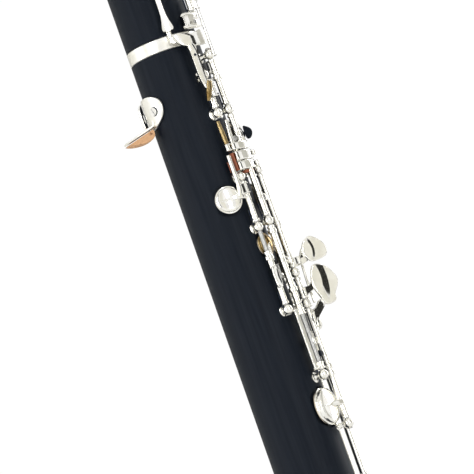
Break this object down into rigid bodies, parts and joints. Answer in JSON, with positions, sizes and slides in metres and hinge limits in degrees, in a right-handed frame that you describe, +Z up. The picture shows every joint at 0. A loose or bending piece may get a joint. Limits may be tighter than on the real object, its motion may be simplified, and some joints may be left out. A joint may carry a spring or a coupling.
{
  "type": "oboe",
  "caption": "Black hardwood oboe with a conical bore, flared bell, silver-plated plateau keywork on hinge rods and a cork-lined thumb rest.",
  "frame": {"origin": "centre of the bell's mouth, in the plane of its rim", "axes": "+Z up the bore towards the reed well; -Y is the front with the tone holes; -X is the player's right; +Y is the back with the thumb rest"},
  "size_m": [0.057, 0.0581, 0.59],
  "materials": {
    "grenadilla": "oiled satin black hardwood",
    "silver_plate": "polished silver plate on nickel silver",
    "steel": "turned steel",
    "blued_steel": "blued spring steel",
    "cork": "natural cork",
    "pad_skin": "pale skin over felt"
  },
  "bodies": {
    "body": {"bell": "grenadilla", "bell_posts": "silver_plate", "bell_rim_ring": "silver_plate", "bell_rod": "steel", "bell_socket_ring": "silver_plate", "bell_tenon_cork": "cork", "lower_joint": "grenadilla", "lower_posts": "silver_plate", "lower_rods": "steel", "middle_socket_ring": "silver_plate", "middle_tenon_cork": "cork", "needle_springs": "blued_steel", "reed_well_ring": "silver_plate", "thumb_rest": "silver_plate", "thumb_rest_cork": "cork", "thumb_rest_screws": "silver_plate", "upper_joint": "grenadilla", "upper_posts": "silver_plate", "upper_rods": "steel"},
    "half_hole_plate": {"half_hole_plate": "silver_plate", "half_hole_plate_pad": "pad_skin"},
    "a_key": {"a_key": "silver_plate", "a_key_pad": "pad_skin"},
    "g_key": {"g_key": "silver_plate", "g_key_pad": "pad_skin"},
    "g_sharp_key": {"g_sharp_key": "silver_plate", "g_sharp_key_pad": "pad_skin"},
    "trill_lever": {"trill_lever": "silver_plate", "trill_lever_pad": "pad_skin"},
    "second_octave_key": {"second_octave_key": "silver_plate", "second_octave_key_pad": "pad_skin"},
    "first_octave_key": {"first_octave_key": "silver_plate", "first_octave_key_pad": "pad_skin"},
    "trill_touch": {"trill_touch": "silver_plate"},
    "bridge_lever": {"bridge_lever": "silver_plate"},
    "f_sharp_plate": {"f_sharp_plate": "silver_plate", "f_sharp_plate_pad": "pad_skin"},
    "e_plate": {"e_plate": "silver_plate", "e_plate_pad": "pad_skin"},
    "d_plate": {"d_plate": "silver_plate", "d_plate_pad": "pad_skin"},
    "side_vent_key": {"side_vent_key": "silver_plate", "side_vent_key_pad": "pad_skin"},
    "f_key": {"f_key": "silver_plate", "f_key_pad": "pad_skin"},
    "resonance_key": {"resonance_key": "silver_plate", "resonance_key_pad": "pad_skin"},
    "e_flat_key": {"e_flat_key": "silver_plate", "e_flat_key_pad": "pad_skin"},
    "low_c_touch": {"low_c_touch": "silver_plate"},
    "low_c_key": {"low_c_key": "silver_plate", "low_c_key_pad": "pad_skin"},
    "c_sharp_key": {"c_sharp_key": "silver_plate", "c_sharp_key_pad": "pad_skin"},
    "low_b_key": {"low_b_key": "silver_plate", "low_b_key_pad": "pad_skin"},
    "low_b_flat_lever": {"low_b_flat_lever": "silver_plate"},
    "low_b_flat_key": {"low_b_flat_key": "silver_plate", "low_b_flat_key_pad": "pad_skin"}
  },
  "joints": [
    {"name": "half_hole_plate_hinge", "type": "hinge", "parent": "body", "child": "half_hole_plate", "pos_m": [-0.0118, -0.0099, 0.436], "axis": [0, 0, 1], "range_deg": [0, 3.95], "stiffness_Nm_per_rad": 0.02, "springref_deg": -14.32},
    {"name": "a_key_hinge", "type": "hinge", "parent": "body", "child": "a_key", "pos_m": [-0.0118, -0.0099, 0.41], "axis": [0, 0, 1], "range_deg": [0, 3.95], "stiffness_Nm_per_rad": 0.02, "springref_deg": -14.32},
    {"name": "g_key_hinge", "type": "hinge", "parent": "body", "child": "g_key", "pos_m": [-0.0118, -0.0099, 0.382], "axis": [0, 0, 1], "range_deg": [0, 3.95], "stiffness_Nm_per_rad": 0.02, "springref_deg": -14.32},
    {"name": "g_sharp_key_hinge", "type": "hinge", "parent": "body", "child": "g_sharp_key", "pos_m": [0.01324, -0.00704, 0.385], "axis": [0, 0, -1], "range_deg": [0, 7], "stiffness_Nm_per_rad": 0.02, "springref_deg": -14.32},
    {"name": "trill_lever_hinge", "type": "hinge", "parent": "body", "child": "trill_lever", "pos_m": [-0.01446, -0.0036, 0.416], "axis": [0, 0, 1], "range_deg": [0, 8.28], "stiffness_Nm_per_rad": 0.005, "springref_deg": -14.32},
    {"name": "second_octave_key_hinge", "type": "hinge", "parent": "body", "child": "second_octave_key", "pos_m": [-0.0123, 0.0071, 0.471], "axis": [0, 0, 1], "range_deg": [0, 9], "stiffness_Nm_per_rad": 0.02, "springref_deg": -14.32},
    {"name": "first_octave_key_hinge", "type": "hinge", "parent": "body", "child": "first_octave_key", "pos_m": [-0.00489, 0.01344, 0.467], "axis": [0, 0, -1], "range_deg": [0, 8], "stiffness_Nm_per_rad": 0.02, "springref_deg": -14.32},
    {"name": "trill_touch_hinge", "type": "hinge", "parent": "body", "child": "trill_touch", "pos_m": [-0.014, -0.00538, 0.3385], "axis": [0, 0, 1], "range_deg": [0, 6], "stiffness_Nm_per_rad": 0.02, "springref_deg": -14.32},
    {"name": "bridge_lever_hinge", "type": "hinge", "parent": "body", "child": "bridge_lever", "pos_m": [-0.01292, -0.0101, 0.342], "axis": [0, 0, 1], "range_deg": [0, 3.95], "stiffness_Nm_per_rad": 0.0004, "springref_deg": -14.32},
    {"name": "f_sharp_plate_hinge", "type": "hinge", "parent": "body", "child": "f_sharp_plate", "pos_m": [-0.01292, -0.0101, 0.324], "axis": [0, 0, 1], "range_deg": [0, 3.95], "stiffness_Nm_per_rad": 0.02, "springref_deg": -14.32},
    {"name": "e_plate_hinge", "type": "hinge", "parent": "body", "child": "e_plate", "pos_m": [-0.01292, -0.0101, 0.305], "axis": [0, 0, 1], "range_deg": [0, 3.95], "stiffness_Nm_per_rad": 0.02, "springref_deg": -14.32},
    {"name": "d_plate_hinge", "type": "hinge", "parent": "body", "child": "d_plate", "pos_m": [-0.01292, -0.0101, 0.275], "axis": [0, 0, 1], "range_deg": [0, 3.95], "stiffness_Nm_per_rad": 0.02, "springref_deg": -14.32},
    {"name": "side_vent_key_hinge", "type": "hinge", "parent": "body", "child": "side_vent_key", "pos_m": [-0.014, -0.00538, 0.2995], "axis": [0, 0, 1], "range_deg": [0, 8], "stiffness_Nm_per_rad": 0.02, "springref_deg": -14.32},
    {"name": "f_key_hinge", "type": "hinge", "parent": "body", "child": "f_key", "pos_m": [-0.014, -0.00538, 0.2755], "axis": [0, 0, -1], "range_deg": [0, 5], "stiffness_Nm_per_rad": 0.02, "springref_deg": -14.32},
    {"name": "resonance_key_hinge", "type": "hinge", "parent": "body", "child": "resonance_key", "pos_m": [-0.01292, -0.0101, 0.249], "axis": [0, 0, 1], "range_deg": [0, 3.95], "stiffness_Nm_per_rad": 0.005, "springref_deg": -14.32},
    {"name": "e_flat_key_hinge", "type": "hinge", "parent": "body", "child": "e_flat_key", "pos_m": [-0.00843, -0.01459, 0.245], "axis": [0, 0, 1], "range_deg": [0, 8], "stiffness_Nm_per_rad": 0.02, "springref_deg": -14.32},
    {"name": "low_c_touch_hinge", "type": "hinge", "parent": "body", "child": "low_c_touch", "pos_m": [-0.00843, -0.01459, 0.291], "axis": [0, 0, 1], "range_deg": [0, 5.5], "stiffness_Nm_per_rad": 0.02, "springref_deg": -14.32},
    {"name": "low_c_key_hinge", "type": "hinge", "parent": "body", "child": "low_c_key", "pos_m": [-0.00058, -0.01669, 0.218], "axis": [0, 0, -1], "range_deg": [0, 6.9], "stiffness_Nm_per_rad": 0.005, "springref_deg": -14.32},
    {"name": "c_sharp_key_hinge", "type": "hinge", "parent": "body", "child": "c_sharp_key", "pos_m": [0.00575, -0.01579, 0.229], "axis": [0, 0, -1], "range_deg": [0, 7], "stiffness_Nm_per_rad": 0.02, "springref_deg": -14.32},
    {"name": "low_b_key_hinge", "type": "hinge", "parent": "body", "child": "low_b_key", "pos_m": [0.01594, -0.00339, 0.243], "axis": [0, 0, -1], "range_deg": [0, 6.4], "stiffness_Nm_per_rad": 0.02, "springref_deg": -14.32},
    {"name": "low_b_flat_lever_hinge", "type": "hinge", "parent": "body", "child": "low_b_flat_lever", "pos_m": [0.01615, 0.00285, 0.237], "axis": [0, 0, 1], "range_deg": [0, 6.9], "stiffness_Nm_per_rad": 0.02, "springref_deg": -14.32},
    {"name": "low_b_flat_key_hinge", "type": "hinge", "parent": "body", "child": "low_b_flat_key", "pos_m": [0.01615, 0.00285, 0.088], "axis": [0, 0, 1], "range_deg": [0, 6.9], "stiffness_Nm_per_rad": 0.005, "springref_deg": -14.32}
  ],
  "couplings": [
    {"joint": "trill_lever_hinge", "follows": "trill_touch_hinge", "ratio": 1.38},
    {"joint": "bridge_lever_hinge", "follows": "f_sharp_plate_hinge", "ratio": 1},
    {"joint": "resonance_key_hinge", "follows": "d_plate_hinge", "ratio": 1},
    {"joint": "low_c_key_hinge", "follows": "low_c_touch_hinge", "ratio": 1.25},
    {"joint": "low_b_flat_key_hinge", "follows": "low_b_flat_lever_hinge", "ratio": 1}
  ]
}
